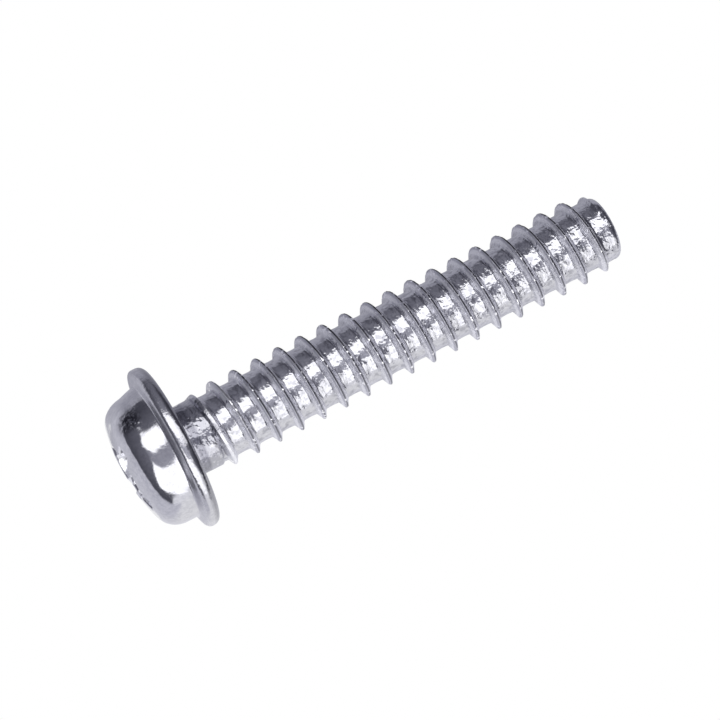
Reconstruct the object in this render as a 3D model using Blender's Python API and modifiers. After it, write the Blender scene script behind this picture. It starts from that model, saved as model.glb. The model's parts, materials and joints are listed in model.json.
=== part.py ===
"""Flanged pan head tapping screw, 6 x 35, with a coarse thread and a cross recess.

Metres, +Z up. The screw is modelled along its own axis, with the bearing face of the
flange at z = 0, the flat end at +z and the crown of the head at -z. It is then laid
down as it comes to rest on a table: on the rim of the flange and on the underside of
the thread near the end. Lying, its axis runs along +X, with the end at +X.
"""

import bpy
import bmesh
from math import atan, atan2, ceil, cos, hypot, pi, radians, sin, sqrt, tan
from mathutils import Matrix

MM = 0.001

# Shank
LENGTH = 35.0 * MM            # under the flange to the flat end
ROOT_RADIUS = 2.42 * MM       # foot of the thread
ROOT_WAIST = 0.03 * MM        # how far the core is hollowed between two turns
NECK_RADIUS = 2.65 * MM       # plain neck, the blank as it was before the rolling
NECK_LENGTH = 2.05 * MM
FILLET_RADIUS = 0.30 * MM     # under the flange
END_ROUND = 0.50 * MM         # rounded corner of the flat end

# Thread
CREST_RADIUS = 3.08 * MM
PITCH = 1.80 * MM
CREST_FLAT = 0.20 * MM
FLANK_ANGLE = radians(25.0)   # of each flank from square to the axis
FOOT_BLEND = 0.16 * MM        # height of the curve between flank and core
FIRST_CREST_GAP = 1.73 * MM   # neck's end to the first full crest on the +Y side
RISE_LEAD = 0.70 * MM         # the thread starts to rise this far before the neck's end
RISE_LENGTH = 2.20 * MM
FADE_LENGTH = 3.20 * MM       # the thread sinks into the core over this length
BARE_END = 0.40 * MM          # core with no thread before the flat end
END_CONE = radians(30.0)      # from square to the axis, trims the last of the thread

# Flange
FLANGE_RADIUS = 6.25 * MM
FLANGE_THICKNESS = 1.18 * MM
RIM_ROUND_UNDER = 0.55 * MM   # rim's round on the bearing side
RIM_ROUND_TOP = 0.33 * MM     # rim's round on the head side
FLANGE_RISE = 0.10 * MM       # slope of the flange's top up to the head

# Head
HEAD_HEIGHT = 4.44 * MM       # bearing face to the middle of the crown
HEAD_FOOT_RADIUS = 5.15 * MM
HEAD_SIDE_SLOPE = radians(8.0)
SHOULDER_RADIUS = 1.70 * MM
SHOULDER_END = radians(15.0)  # slope of the shoulder where the domed crown starts
CROWN_RISE = 0.50 * MM        # of the dome, above the shoulder's end

# Cross recess, number 3
RECESS_RADIUS = 3.40 * MM     # tip of a wing at the crown's rim
RECESS_DEPTH = 2.90 * MM
WING_THICKNESS = 1.24 * MM    # at the crown
WING_TIP_SLOPE = radians(26.5)
WING_SIDE_SLOPE = radians(2.0)
CORE_RADIUS = 2.10 * MM       # round middle of the cross, at the crown
CORE_SLOPE = radians(5.75)
RECESS_POINT = radians(17.0)  # slope of the shallow cone at the bottom
RECESS_TURN = radians(63.0)   # wings stand this far round from the +Y side
WING_CORNER = 0.16 * MM
CUTTER_CLEARANCE = 0.50 * MM  # how far a cutter reaches past what it cuts

# Faceting
HEAD_SEGMENTS = 40
THREAD_SEGMENTS = 28
RECESS_SEGMENTS = 28
FILLET_PIECES = 3
RIM_UNDER_PIECES = 4
RIM_TOP_PIECES = 3
SHOULDER_PIECES = 6
CROWN_PIECES = 4
END_PIECES = 4
CORNER_PIECES = 2
WELD = 1.0e-6

# Where the head, the flange and the thread start and end
FLANGE_TOP = FLANGE_THICKNESS + FLANGE_RISE
FIRST_FULL_CREST = NECK_LENGTH + FIRST_CREST_GAP
START_OF_RISE = NECK_LENGTH - RISE_LEAD
UNDERSIDE = 0.75              # of a turn, from the +Y side round to the side laid down

# Finish
ZINC = (0.60, 0.61, 0.65, 1.0)
ZINC_ROUGHNESS = 0.28


def new_collection(name):
    collection = bpy.data.collections.new(name)
    bpy.context.scene.collection.children.link(collection)
    return collection


def arc(middle_z, middle_r, radius, start, end, pieces):
    """Points (z, r) on an arc. Angle 0 points along +z and 90 degrees outward."""
    points = []
    for i in range(pieces + 1):
        angle = start + (end - start) * i / pieces
        points.append((middle_z + radius * cos(angle), middle_r + radius * sin(angle)))
    return points


def line_object(name, points, collection):
    """A wire of edges through points (z, r) in the XZ plane, r along +X."""
    mesh = bpy.data.meshes.new(name)
    vertices = [(r, 0.0, z) for z, r in points]
    edges = [(i, i + 1) for i in range(len(points) - 1)]
    mesh.from_pydata(vertices, edges, [])
    obj = bpy.data.objects.new(name, mesh)
    collection.objects.link(obj)
    return obj


def add_turning(obj, segments):
    """Turn the profile once round Z."""
    turning = obj.modifiers.new("Turning", "SCREW")
    turning.axis = "Z"
    turning.angle = 2.0 * pi
    turning.steps = segments
    turning.render_steps = segments
    turning.use_merge_vertices = True
    turning.merge_threshold = WELD


def make_real(obj):
    """Replace the object's mesh by the one its modifiers give."""
    depsgraph = bpy.context.evaluated_depsgraph_get()
    mesh = bpy.data.meshes.new_from_object(obj.evaluated_get(depsgraph))
    obj.modifiers.clear()
    obj.data = mesh


def add_boolean(obj, operation, other):
    boolean = obj.modifiers.new(operation.title(), "BOOLEAN")
    boolean.operation = operation
    boolean.solver = "EXACT"
    boolean.object = other


def hide_tool(obj):
    obj.hide_render = True
    obj.display_type = "WIRE"


# Head, flange and neck, turned from one profile

def shoulder_arc():
    """The shoulder, which leaves the sloping side of the head without a corner."""
    start = pi / 2 + HEAD_SIDE_SLOPE
    end = pi - SHOULDER_END
    shoulder_height = SHOULDER_RADIUS * (cos(start) - cos(end))
    side_end = HEAD_HEIGHT - CROWN_RISE - shoulder_height
    side_radius = HEAD_FOOT_RADIUS - (side_end - FLANGE_TOP) * tan(HEAD_SIDE_SLOPE)
    middle_z = -side_end - SHOULDER_RADIUS * cos(start)
    middle_r = side_radius - SHOULDER_RADIUS * sin(start)
    return arc(middle_z, middle_r, SHOULDER_RADIUS, start, end, SHOULDER_PIECES)


def crown_arc(edge_r):
    """The domed crown, from the end of the shoulder to the middle of the head."""
    dome = (edge_r ** 2 + CROWN_RISE ** 2) / (2.0 * CROWN_RISE)
    points = []
    for i in range(1, CROWN_PIECES + 1):
        r = edge_r * (1.0 - i / CROWN_PIECES)
        points.append((dome - HEAD_HEIGHT - sqrt(dome ** 2 - r ** 2), r))
    return points


def flange_rim():
    """The rim's two rounds. The upper one runs into the slope of the flange's top."""
    under = arc(-RIM_ROUND_UNDER, FLANGE_RADIUS - RIM_ROUND_UNDER, RIM_ROUND_UNDER,
                0.0, pi / 2, RIM_UNDER_PIECES)
    top_middle = FLANGE_RADIUS - RIM_ROUND_TOP
    top_slope = atan(FLANGE_RISE / (top_middle - HEAD_FOOT_RADIUS))
    top = arc(RIM_ROUND_TOP - FLANGE_THICKNESS, top_middle, RIM_ROUND_TOP,
              pi / 2, pi - top_slope, RIM_TOP_PIECES)
    return under + top


def head_profile():
    """Outer side from the neck's end, along the flange, to the middle of the crown."""
    buried_radius = ROOT_RADIUS - 2.0 * ROOT_WAIST
    neck_end = NECK_LENGTH + (NECK_RADIUS - buried_radius)
    points = [(neck_end, 0.0), (neck_end, buried_radius), (NECK_LENGTH, NECK_RADIUS)]
    points += arc(FILLET_RADIUS, NECK_RADIUS + FILLET_RADIUS, FILLET_RADIUS,
                  -pi / 2, -pi, FILLET_PIECES)
    points += flange_rim()
    points.append((-FLANGE_TOP, HEAD_FOOT_RADIUS))
    shoulder = shoulder_arc()
    shoulder_z, shoulder_r = shoulder[-1]
    return points + shoulder + crown_arc(shoulder_r)


def make_head(collection):
    head = line_object("screw", head_profile(), collection)
    flat_down = pi / HEAD_SEGMENTS
    head.data.transform(Matrix.Rotation(flat_down, 4, "Z"))
    add_turning(head, HEAD_SEGMENTS)
    return head


# Thread, one tooth swept along its helix

def tooth_profile():
    """One pitch of the thread from waist to waist, its crest in the middle."""
    blend_radius = ROOT_RADIUS + FOOT_BLEND
    half_flat = CREST_FLAT / 2.0
    half_at_blend = half_flat + (CREST_RADIUS - blend_radius) * tan(FLANK_ANGLE)
    half_at_foot = half_at_blend + FOOT_BLEND
    upper = [(PITCH / 2.0, ROOT_RADIUS - ROOT_WAIST), (half_at_foot, ROOT_RADIUS),
             (half_at_blend, blend_radius), (half_flat, CREST_RADIUS)]
    lower = [(-z, r) for z, r in reversed(upper)]
    return upper + lower


def ridge_height(z):
    """Height of the thread at z, as a share of its full height."""
    rise = (z - START_OF_RISE) / RISE_LENGTH
    fade = (LENGTH - BARE_END - z) / FADE_LENGTH
    rise = min(max(rise, 0.0), 1.0)
    fade = min(max(fade, 0.0), 1.0)
    return sin(rise * pi / 2.0) * sqrt(1.0 - (1.0 - fade) ** 2)


def first_turn_middle():
    """Middle of the first swept turn, the last one that starts inside the flange."""
    hidden_turns = ceil(FIRST_FULL_CREST / PITCH - 0.5)
    return FIRST_FULL_CREST - hidden_turns * PITCH


def close_ends(bm):
    """Close both helical ends with a fan to a point on the axis."""
    rims = [edge for edge in bm.edges if edge.is_boundary]
    middle = sum(edge.verts[0].co.z for edge in rims) / len(rims)
    for side in (-1.0, 1.0):
        rim = [edge for edge in rims if (edge.verts[0].co.z - middle) * side > 0.0]
        height = sum(edge.verts[0].co.z for edge in rim) / len(rim)
        tip = bm.verts.new((0.0, 0.0, height))
        for edge in rim:
            bm.faces.new((edge.verts[0], edge.verts[1], tip))
    bmesh.ops.recalc_face_normals(bm, faces=bm.faces)


def make_thread(collection):
    """The threaded core, longer than the shank at both ends."""
    middle = first_turn_middle()
    turns = ceil((LENGTH - middle) / PITCH + 0.5) + 1
    profile = [(middle + z, r) for z, r in tooth_profile()]
    thread = line_object("thread", profile, collection)
    sweep = thread.modifiers.new("Sweep", "SCREW")
    sweep.axis = "Z"
    sweep.angle = 2.0 * pi
    sweep.screw_offset = PITCH
    sweep.iterations = turns
    sweep.steps = THREAD_SEGMENTS
    sweep.render_steps = THREAD_SEGMENTS
    sweep.use_merge_vertices = False
    make_real(thread)
    bm = bmesh.new()
    bm.from_mesh(thread.data)
    bmesh.ops.remove_doubles(bm, verts=bm.verts, dist=WELD)
    for vertex in bm.verts:
        x, y, z = vertex.co
        radius = hypot(x, y)
        if radius > ROOT_RADIUS:
            ridge = ROOT_RADIUS + (radius - ROOT_RADIUS) * ridge_height(z)
            vertex.co.x = x * ridge / radius
            vertex.co.y = y * ridge / radius
    close_ends(bm)
    bm.to_mesh(thread.data)
    bm.free()
    hide_tool(thread)
    return thread


def make_blank(collection):
    """The blank that the thread is cut to: the flat end with its rounded corner."""
    outer = CREST_RADIUS + CUTTER_CLEARANCE
    cone = (outer - ROOT_RADIUS) * tan(END_CONE)
    points = [(LENGTH, 0.0)]
    points += arc(LENGTH - END_ROUND, ROOT_RADIUS - END_ROUND, END_ROUND, 0.0, pi / 2, END_PIECES)
    points += [(LENGTH - END_ROUND - cone, outer), (-FLANGE_THICKNESS, outer),
               (-FLANGE_THICKNESS, 0.0)]
    blank = line_object("blank", points, collection)
    add_turning(blank, THREAD_SEGMENTS)
    hide_tool(blank)
    return blank


# Cross recess, two tapered wings and a round core

def make_wing(name, turn, collection):
    """One slab of the cross. Its ends and sides close in towards the bottom."""
    top = -HEAD_HEIGHT - CUTTER_CLEARANCE
    bottom = -HEAD_HEIGHT + RECESS_DEPTH
    bm = bmesh.new()
    bmesh.ops.create_cube(bm, size=2.0)
    for vertex in bm.verts:
        z = top if vertex.co.z < 0.0 else bottom
        depth = z + HEAD_HEIGHT
        vertex.co.x *= RECESS_RADIUS - depth * tan(WING_TIP_SLOPE)
        vertex.co.y *= WING_THICKNESS / 2.0 - depth * tan(WING_SIDE_SLOPE)
        vertex.co.z = z
    bmesh.ops.rotate(bm, verts=bm.verts, matrix=Matrix.Rotation(turn, 3, "Z"))
    mesh = bpy.data.meshes.new(name)
    bm.to_mesh(mesh)
    bm.free()
    wing = bpy.data.objects.new(name, mesh)
    collection.objects.link(wing)
    corners = wing.modifiers.new("Corners", "BEVEL")
    corners.width = WING_CORNER
    corners.segments = CORNER_PIECES
    corners.limit_method = "ANGLE"
    hide_tool(wing)
    return wing


def make_recess(collection):
    top = -HEAD_HEIGHT - CUTTER_CLEARANCE
    top_radius = CORE_RADIUS + CUTTER_CLEARANCE * tan(CORE_SLOPE)
    floor = -HEAD_HEIGHT + RECESS_DEPTH
    floor_radius = CORE_RADIUS - RECESS_DEPTH * tan(CORE_SLOPE)
    points = [(floor + floor_radius * tan(RECESS_POINT), 0.0), (floor, floor_radius),
              (top, top_radius), (top, 0.0)]
    recess = line_object("recess", points, collection)
    recess.data.transform(Matrix.Rotation(RECESS_TURN, 4, "Z"))
    add_turning(recess, RECESS_SEGMENTS)
    for name, turn in (("wing_a", RECESS_TURN), ("wing_b", RECESS_TURN + pi / 2)):
        add_boolean(recess, "UNION", make_wing(name, turn, collection))
    hide_tool(recess)
    return recess


# Laying the screw down

def resting_lean():
    """Angle by which the axis slopes down from the flange to the end.

    It is the slope of the line that touches the rim and the thread's underside.
    """
    flat_share = cos(pi / HEAD_SEGMENTS)
    rim = [(z, r * flat_share) for z, r in head_profile() if z < 0.0]
    first_under = first_turn_middle() + UNDERSIDE * PITCH
    crests = []
    for turn in range(ceil(LENGTH / PITCH)):
        for side in (-0.5, 0.5):
            z = first_under + turn * PITCH + side * CREST_FLAT
            crests.append((z, ROOT_RADIUS + (CREST_RADIUS - ROOT_RADIUS) * ridge_height(z)))
    slope = min(max((cr - rr) / (cz - rz) for cz, cr in crests) for rz, rr in rim)
    return atan2(-slope, 1.0)


def lay_down(screw):
    """Axis to +X, +Y side kept, then lean, then centre the screw on the table."""
    along_x = Matrix(((0, 0, 1, 0), (1, 0, 0, 0), (0, 1, 0, 0), (0, 0, 0, 1)))
    screw.data.transform(Matrix.Rotation(resting_lean(), 4, "Y") @ along_x)
    corners = [vertex.co for vertex in screw.data.vertices]
    middle_x = (min(c.x for c in corners) + max(c.x for c in corners)) / 2.0
    middle_y = (min(c.y for c in corners) + max(c.y for c in corners)) / 2.0
    lowest = min(c.z for c in corners)
    screw.location = (-middle_x, -middle_y, -lowest)


# Finish

def zinc_plate():
    """Bright zinc plate on steel, a cold grey metal."""
    material = bpy.data.materials.new("zinc_plated_steel")
    material.use_nodes = True
    shader = material.node_tree.nodes["Principled BSDF"]
    shader.inputs["Base Color"].default_value = ZINC
    shader.inputs["Metallic"].default_value = 1.0
    shader.inputs["Roughness"].default_value = ZINC_ROUGHNESS
    return material


def build():
    for obj in list(bpy.data.objects):
        bpy.data.objects.remove(obj)
    parts = new_collection("flanged_tapping_screw")
    cutters = new_collection("cutters")
    screw = make_head(parts)
    thread = make_thread(cutters)
    add_boolean(thread, "INTERSECT", make_blank(cutters))
    add_boolean(screw, "UNION", thread)
    add_boolean(screw, "DIFFERENCE", make_recess(cutters))
    make_real(screw)
    lay_down(screw)
    screw.data.materials.clear()
    screw.data.materials.append(zinc_plate())
    screw.data.shade_smooth()
    screw.data.set_sharp_from_angle(angle=radians(32.0))


build()
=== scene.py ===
"""A flanged pan head tapping screw, 6 x 35, bright zinc plated, lying on a pale table."""

import json
from math import asin, atan, cos, pi, radians, sin, sqrt, tan

import bpy
import bmesh
from mathutils import Matrix, Vector


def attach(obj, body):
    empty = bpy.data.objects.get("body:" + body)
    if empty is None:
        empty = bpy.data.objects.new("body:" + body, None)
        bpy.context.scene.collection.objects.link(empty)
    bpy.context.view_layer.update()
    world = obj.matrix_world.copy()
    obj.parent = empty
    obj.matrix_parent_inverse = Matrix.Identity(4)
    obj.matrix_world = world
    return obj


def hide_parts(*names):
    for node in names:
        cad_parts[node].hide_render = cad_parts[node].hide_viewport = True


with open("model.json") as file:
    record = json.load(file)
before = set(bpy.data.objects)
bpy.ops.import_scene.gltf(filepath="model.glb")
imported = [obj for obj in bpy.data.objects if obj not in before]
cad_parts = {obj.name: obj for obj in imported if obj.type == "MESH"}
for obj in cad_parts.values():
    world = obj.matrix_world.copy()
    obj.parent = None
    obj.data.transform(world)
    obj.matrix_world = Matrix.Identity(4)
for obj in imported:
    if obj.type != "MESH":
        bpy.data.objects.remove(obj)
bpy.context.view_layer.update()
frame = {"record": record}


# Headed blank
# Steel wire, cold formed in two blows into a pan head with a flange under it. Everything
# is turned round the screw's own axis: z runs from the bearing face to the flat end.

MM = 0.001
COLUMNS = 112                 # faces round the screw, 28 to each quarter of the cross
NECK_RADIUS = 2.65 * MM
NECK_RING = 1.30 * MM         # where the blank's mesh meets the thread's
FILLET_RADIUS = 0.30 * MM
FLANGE_RADIUS = 6.25 * MM
FLANGE_THICKNESS = 1.18 * MM
RIM_ROUND_UNDER = 0.55 * MM
RIM_ROUND_TOP = 0.33 * MM
FLANGE_RISE = 0.10 * MM
HEAD_HEIGHT = 4.44 * MM
HEAD_FOOT_RADIUS = 5.15 * MM
HEAD_FOOT_ROUND = 0.12 * MM   # inner corner between the flange's top and the head
HEAD_SIDE_SLOPE = radians(8.0)
SHOULDER_RADIUS = 1.70 * MM
SHOULDER_END = radians(15.0)
CROWN_RISE = 0.50 * MM
CROSS_TURN = radians(63.0)    # first wing of the cross, from the side that faces +Y
NECK_RINGS = 6                # mesh rings along each stretch of the profile
FILLET_RINGS = 6
BEARING_FACE_RINGS = 8
RIM_UNDER_RINGS = 9
RIM_EDGE_RINGS = 2
RIM_TOP_RINGS = 7
FLANGE_TOP_RINGS = 4
HEAD_FOOT_RINGS = 4
HEAD_SIDE_RINGS = 5
SHOULDER_RINGS = 18


def arc(middle_z, middle_r, radius, start, end, pieces):
    """Points (z, r) on an arc. Angle 0 points along +z and 90 degrees outward."""
    turns = [start + (end - start) * i / pieces for i in range(pieces + 1)]
    return [(middle_z + radius * cos(a), middle_r + radius * sin(a)) for a in turns]


def straight(start, end, pieces):
    """Points between two profile points, without the first."""
    return [(start[0] + (end[0] - start[0]) * i / pieces,
             start[1] + (end[1] - start[1]) * i / pieces) for i in range(1, pieces + 1)]


def ring(z, r):
    """One ring of the turned blank, its first point on the first wing of the cross."""
    turns = [CROSS_TURN + 2.0 * pi * i / COLUMNS for i in range(COLUMNS)]
    return [Vector((r * cos(a), r * sin(a), z)) for a in turns]


shoulder_start = pi / 2 + HEAD_SIDE_SLOPE
shoulder_end = pi - SHOULDER_END
shoulder_z = -HEAD_HEIGHT + CROWN_RISE - SHOULDER_RADIUS * cos(shoulder_end)
side_end_z = shoulder_z + SHOULDER_RADIUS * cos(shoulder_start)
flange_top_z = -FLANGE_THICKNESS - FLANGE_RISE
side_end_r = HEAD_FOOT_RADIUS - (flange_top_z - side_end_z) * tan(HEAD_SIDE_SLOPE)
shoulder_r = side_end_r - SHOULDER_RADIUS * sin(shoulder_start)
top_middle = FLANGE_RADIUS - RIM_ROUND_TOP
top_slope = atan(FLANGE_RISE / (top_middle - HEAD_FOOT_RADIUS))

outline = [(NECK_RING, NECK_RADIUS)]
outline += straight(outline[-1], (FILLET_RADIUS, NECK_RADIUS), NECK_RINGS)
outline += arc(FILLET_RADIUS, NECK_RADIUS + FILLET_RADIUS, FILLET_RADIUS,
               -pi / 2, -pi, FILLET_RINGS)[1:]
rim = arc(-RIM_ROUND_UNDER, FLANGE_RADIUS - RIM_ROUND_UNDER, RIM_ROUND_UNDER,
          0.0, pi / 2, RIM_UNDER_RINGS)
outline += straight(outline[-1], rim[0], BEARING_FACE_RINGS) + rim[1:]
rim = arc(RIM_ROUND_TOP - FLANGE_THICKNESS, top_middle, RIM_ROUND_TOP,
          pi / 2, pi - top_slope, RIM_TOP_RINGS)
outline += straight(outline[-1], rim[0], RIM_EDGE_RINGS) + rim[1:]
foot = arc(flange_top_z - HEAD_FOOT_ROUND, HEAD_FOOT_RADIUS + HEAD_FOOT_ROUND, HEAD_FOOT_ROUND,
           -top_slope, -pi / 2 + HEAD_SIDE_SLOPE, HEAD_FOOT_RINGS)
outline += straight(outline[-1], foot[0], FLANGE_TOP_RINGS) + foot[1:]
shoulder = arc(shoulder_z, shoulder_r, SHOULDER_RADIUS,
               shoulder_start, shoulder_end, SHOULDER_RINGS)
outline += straight(outline[-1], shoulder[0], HEAD_SIDE_RINGS) + shoulder[1:]
crown_edge_r = outline[-1][1]
crown_sphere = (crown_edge_r ** 2 + CROWN_RISE ** 2) / (2.0 * CROWN_RISE)
loops = [ring(z, r) for z, r in outline]


# Cross recess
# Punched into the crown by the second blow: four tapered wings round a conical core.
# The punch leaves the rim of the cross softly rounded and its bottom a shallow cone.

RECESS_RADIUS = 3.40 * MM
RECESS_DEPTH = 2.90 * MM
WING_HALF_THICKNESS = 0.62 * MM
WING_TIP_SLOPE = radians(26.5)
WING_SIDE_SLOPE = radians(2.0)
CORE_RADIUS = 2.10 * MM
CORE_SLOPE = radians(5.75)
RECESS_POINT = radians(17.0)
WING_CORNER = 0.16 * MM
CROSS_RIM_ROUND = 0.14 * MM
CROSS_FLOOR_ROUND = 0.15 * MM
WING_TIP_POINTS = 3           # a half wing: from its tip's middle to its corner,
WING_CORNER_POINTS = 3        # round the corner,
WING_SIDE_POINTS = 5          # along its side,
CORE_POINTS = 3               # and half way round the core to the next wing
ROUND_RINGS = 4               # round the cross's rim, and round its floor's edge
WALL_RINGS = 9
FLOOR_RINGS = 5
CROWN_RINGS = 8               # between the shoulder and the cross
DEPTH_ROUNDS = 5              # the depth depends on the place, and the place on the depth


def crown_depth(x, y):
    """How far the domed crown lies below its middle at a point of the cross."""
    return crown_sphere - sqrt(crown_sphere ** 2 - x * x - y * y)


def cross_point(index, depth, spread):
    """A point on the cross's outline at a depth, pushed outward by spread."""
    quarter, step = divmod(index, COLUMNS // 4)
    half = COLUMNS // 8
    mirrored = step > half
    step = 2 * half - step if mirrored else step
    tip = RECESS_RADIUS - depth * tan(WING_TIP_SLOPE) + spread
    side = WING_HALF_THICKNESS - depth * tan(WING_SIDE_SLOPE) + spread
    core = CORE_RADIUS - depth * tan(CORE_SLOPE) + spread
    corner = WING_CORNER + spread
    joint = sqrt(core ** 2 - side ** 2)
    side_start = WING_TIP_POINTS + WING_CORNER_POINTS
    core_start = side_start + WING_SIDE_POINTS
    if step <= WING_TIP_POINTS:
        x, y = tip, (side - corner) * step / WING_TIP_POINTS
    elif step <= side_start:
        a = pi / 2 * (step - WING_TIP_POINTS) / WING_CORNER_POINTS
        x, y = tip - corner + corner * cos(a), side - corner + corner * sin(a)
    elif step <= core_start:
        share = (step - side_start) / WING_SIDE_POINTS
        x, y = tip - corner + (joint - tip + corner) * share, side
    else:
        joint_turn = atan(side / joint)
        a = joint_turn + (pi / 4 - joint_turn) * (step - core_start) / CORE_POINTS
        x, y = core * cos(a), core * sin(a)
    if mirrored:
        x, y = y, x
    for _ in range(quarter):
        x, y = -y, x
    return x, y


def cross_loop(spread, below_crown, share_to_floor):
    """A loop of the recess wall, some way from just below the crown to the floor."""
    points = []
    floor = RECESS_DEPTH - CROSS_FLOOR_ROUND
    for index in range(COLUMNS):
        depth = 0.0
        for _ in range(DEPTH_ROUNDS):
            x, y = cross_point(index, depth, spread)
            start = crown_depth(x, y) + below_crown
            depth = start + (floor - start) * share_to_floor
        points.append((x, y, depth))
    return points


round_turns = [pi / 2 * i / ROUND_RINGS for i in range(ROUND_RINGS + 1)]
cross = [cross_loop(CROSS_RIM_ROUND * (1.0 - sin(a)), CROSS_RIM_ROUND * (1.0 - cos(a)), 0.0)
         for a in round_turns]
cross += [cross_loop(0.0, CROSS_RIM_ROUND, i / WALL_RINGS) for i in range(1, WALL_RINGS + 1)]
for a in round_turns[1:]:
    tuck = CROSS_FLOOR_ROUND * (1.0 - cos(a))
    depth = RECESS_DEPTH - CROSS_FLOOR_ROUND * (1.0 - sin(a))
    floor_edge = []
    for i in range(COLUMNS):
        x, y = cross_point(i, depth, 0.0)
        draw_in = 1.0 - tuck / Vector((x, y)).length
        floor_edge.append((x * draw_in, y * draw_in, depth))
    cross.append(floor_edge)
core_floor = CORE_RADIUS - RECESS_DEPTH * tan(CORE_SLOPE)
for i in range(1, FLOOR_RINGS + 1):
    shrink = 1.0 - i / (FLOOR_RINGS + 1)
    scaled = [(x * shrink, y * shrink) for x, y, _ in floor_edge]
    cross.append([(x, y, RECESS_DEPTH + max(0.0, core_floor - Vector((x, y)).length)
                   * tan(RECESS_POINT)) for x, y in scaled])

crown_rim = ring(0.0, crown_edge_r)
turned_cross = Matrix.Rotation(CROSS_TURN, 4, "Z")
cross_loops = [[turned_cross @ Vector((x, y, depth - HEAD_HEIGHT)) for x, y, depth in one]
               for one in cross]
for i in range(1, CROWN_RINGS + 1):
    share = i / (CROWN_RINGS + 1)
    loop = []
    for start, end in zip(crown_rim, cross_loops[0]):
        x = start.x + (end.x - start.x) * share
        y = start.y + (end.y - start.y) * share
        loop.append(Vector((x, y, crown_depth(x, y) - HEAD_HEIGHT)))
    loops.append(loop)
loops += cross_loops
recess_bottom = Vector((0.0, 0.0, RECESS_DEPTH + core_floor * tan(RECESS_POINT) - HEAD_HEIGHT))

# The punch stood a little askew. The flange came out thinner on its lower side and a
# little off the middle, the crown slants, and a blow has flattened the shoulder.
PUNCH_TURN = radians(20.0)    # the side where the flange is thickest, from +Y
CROWN_SLANT = 0.055
CROWN_LIFT = 0.15 * MM
FLANGE_THINNER = 0.20 * MM    # at the rim, on the side where it is thinnest
UPPER_SIDE = (0.5, 0.8)       # shares of the flange's thickness between which it gives way
FLANGE_SHIFT = 0.065 * MM
HEAD_SHIFT = -0.09 * MM
SHIFT_CHANGE = 1.0 * MM       # above the flange, over which one shift becomes the other
BLOW = Vector((4.65, 1.0, -3.70)) * MM
BLOW_REACH = 2.2 * MM
BLOW_PUSH = 0.175 * MM        # inward, and as much toward the flange


def share_of(value, start, end):
    """How far a value has come from start to end, from 0 to 1."""
    return min(max((value - start) / (end - start), 0.0), 1.0)


def askew(point):
    """Where a point of the blank ends up."""
    x, y, z = point
    radius = Vector((x, y)).length
    toward = x * cos(PUNCH_TURN) + y * sin(PUNCH_TURN)
    upper_side = share_of(-z / FLANGE_THICKNESS, *UPPER_SIDE)
    up_head = share_of(z, flange_top_z, -HEAD_HEIGHT)
    out_flange = share_of(radius, HEAD_FOOT_RADIUS, FLANGE_RADIUS)
    thinner = FLANGE_THINNER * out_flange
    on_flange = thinner * (1.0 - toward / radius) / 2.0 if radius > 0.0 else 0.0
    on_crown = -CROWN_LIFT - CROWN_SLANT * toward
    z += upper_side * (on_flange * (1.0 - up_head) + on_crown * up_head)
    beside = share_of(radius, NECK_RADIUS + FILLET_RADIUS, FLANGE_RADIUS - RIM_ROUND_UNDER)
    if point.z < flange_top_z:
        beside = 1.0
    off_flange = share_of(point.z, flange_top_z, flange_top_z - SHIFT_CHANGE)
    x += beside * FLANGE_SHIFT * (1.0 - off_flange) + HEAD_SHIFT * off_flange
    hit = max(0.0, 1.0 - ((point - BLOW).length / BLOW_REACH) ** 2) ** 2
    return Vector((x - BLOW_PUSH * hit, y, z + BLOW_PUSH * hit))


loops = [[askew(point) for point in loop] for loop in loops]
recess_bottom = askew(recess_bottom)


# Flat end
# The wire is cut square and its edge is rounded before the thread is rolled, so the
# end has no point. The last of the thread runs out over this rounding.

LENGTH = 35.0 * MM
CORE_OF_THREAD = 2.42 * MM    # radius at the foot of the thread
END_ROUND = 0.50 * MM
END_ROUND_RINGS = 8
END_FACE_RINGS = 8

end_profile = arc(LENGTH - END_ROUND, CORE_OF_THREAD - END_ROUND, END_ROUND,
                  pi / 2, 0.0, END_ROUND_RINGS)
end_profile += straight(end_profile[-1], (LENGTH, 0.0), END_FACE_RINGS)[:-1]
end_loops = [ring(z, r) for z, r in end_profile]


def skin(bm, loops, pole):
    """Quads from loop to loop, and a fan from the last one to its pole. Gives all points."""
    rows = [[bm.verts.new(point) for point in loop] for loop in loops]
    tip = bm.verts.new(pole)
    for near, far in zip(rows, rows[1:]):
        for i in range(len(near)):
            j = (i + 1) % len(near)
            bm.faces.new((near[i], near[j], far[j], far[i]))
    last = rows[-1]
    for i in range(len(last)):
        bm.faces.new((last[i], last[(i + 1) % len(last)], tip))
    return [vert for row in rows for vert in row] + [tip]


# Rolled thread
# Two flat dies press the thread up out of the blank. The core is slightly hollow between
# the turns, the crest has small nicks, and the thread sinks into the core before the end.

PITCH = 1.80 * MM
CREST_RADIUS = 3.08 * MM
CREST_FLAT = 0.16 * MM
FLANK_ANGLE = radians(25.0)
FIRST_CREST = 3.78 * MM       # on the side that faces +Y
NECK_END = 2.05 * MM
ROWS_A_TURN = 30
ROW_DRAW = 0.55               # how strongly the rows gather at the crest
SWELL_LEAN = 0.6              # how much less the core swells on the side that faces +Y
NICK_RANGE = (0.50, 0.72)     # of the noise: where a nick starts, and where it is full
NICKED = (0.70, 0.95)         # of the tooth's height: where nicks start, and where all show
WELD = 1e-6


def add_node(tree, kind, inputs, output=0, **settings):
    """One node with its settings. An input is a value or another node's socket."""
    node = tree.nodes.new(kind)
    for name, value in settings.items():
        setattr(node, name, value)
    for name, value in inputs.items():
        if isinstance(value, bpy.types.NodeSocket):
            tree.links.new(value, node.inputs[name])
        else:
            node.inputs[name].default_value = value
    return node.outputs[output]


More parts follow.
